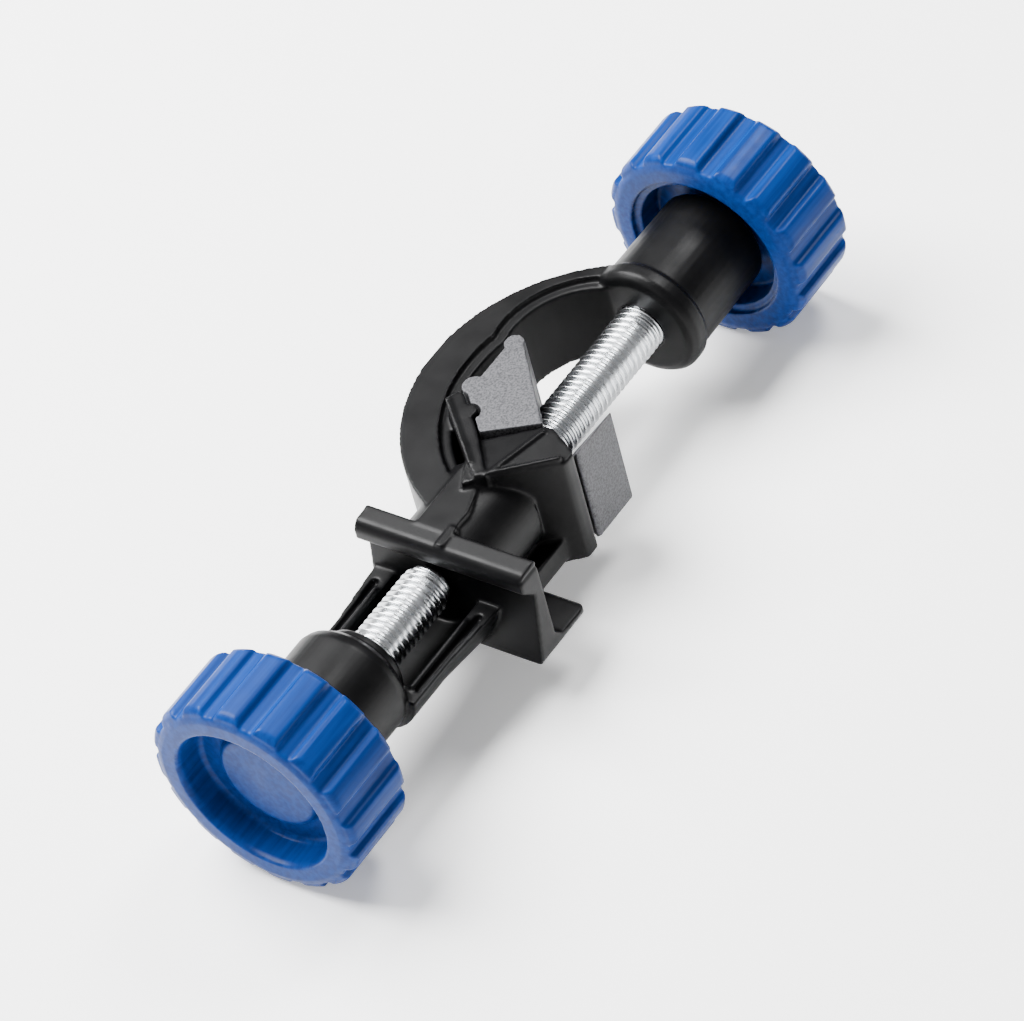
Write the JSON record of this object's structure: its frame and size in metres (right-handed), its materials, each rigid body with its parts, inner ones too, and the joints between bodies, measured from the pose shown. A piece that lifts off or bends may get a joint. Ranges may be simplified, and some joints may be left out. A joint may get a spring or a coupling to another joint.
{
  "type": "boss head clamp",
  "caption": "Boss head clamp: black cast body with a trough jaw and a V jaw at right angles, each closed by a steel screw with a ridged blue knob.",
  "frame": {"origin": "on the common axis of the two screws, at the root of the V of the far jaw (mount stand_rod_jaw)", "axes": "+X along the screws towards the far knob, +Y towards the curved arm, +Z along the rod held in the V jaw"},
  "size_m": [0.1705, 0.0495, 0.0442],
  "materials": {
    "body_black": "black powder-coated casting, semi-gloss",
    "knob_blue": "blue injection-moulded plastic, semi-gloss",
    "screw_zinc": "bright zinc-plated fine thread",
    "jaw_grey": "blasted grey cast aluminium"
  },
  "bodies": {
    "casting": {"body": "body_black"},
    "jaw_slider": {"jaw_b": "jaw_grey"},
    "far_knob_turner": {"screw_b": "screw_zinc", "knob_b": "knob_blue"},
    "nose_slider": {"nose_a": "screw_zinc"},
    "near_knob_turner": {"screw_a": "screw_zinc", "knob_a": "knob_blue"}
  },
  "joints": [
    {"name": "jaw_b_slide", "type": "slide", "parent": "casting", "child": "jaw_slider", "axis": [1, 0, 0], "range_m": [0, 0.015]},
    {"name": "screw_b_turn", "type": "hinge", "parent": "jaw_slider", "child": "far_knob_turner", "pos_m": [0.05, 0, 0], "axis": [1, 0, 0], "range_deg": [0, 3605]},
    {"name": "nose_a_slide", "type": "slide", "parent": "casting", "child": "nose_slider", "axis": [-1, 0, 0], "range_m": [0, 0.018]},
    {"name": "screw_a_turn", "type": "hinge", "parent": "nose_slider", "child": "near_knob_turner", "pos_m": [-0.05, 0, 0], "axis": [-1, 0, 0], "range_deg": [0, 4325]}
  ],
  "couplings": [
    {"joint": "screw_b_turn", "follows": "jaw_b_slide", "rad_per_m": 4188.8},
    {"joint": "screw_a_turn", "follows": "nose_a_slide", "rad_per_m": 4188.8}
  ]
}
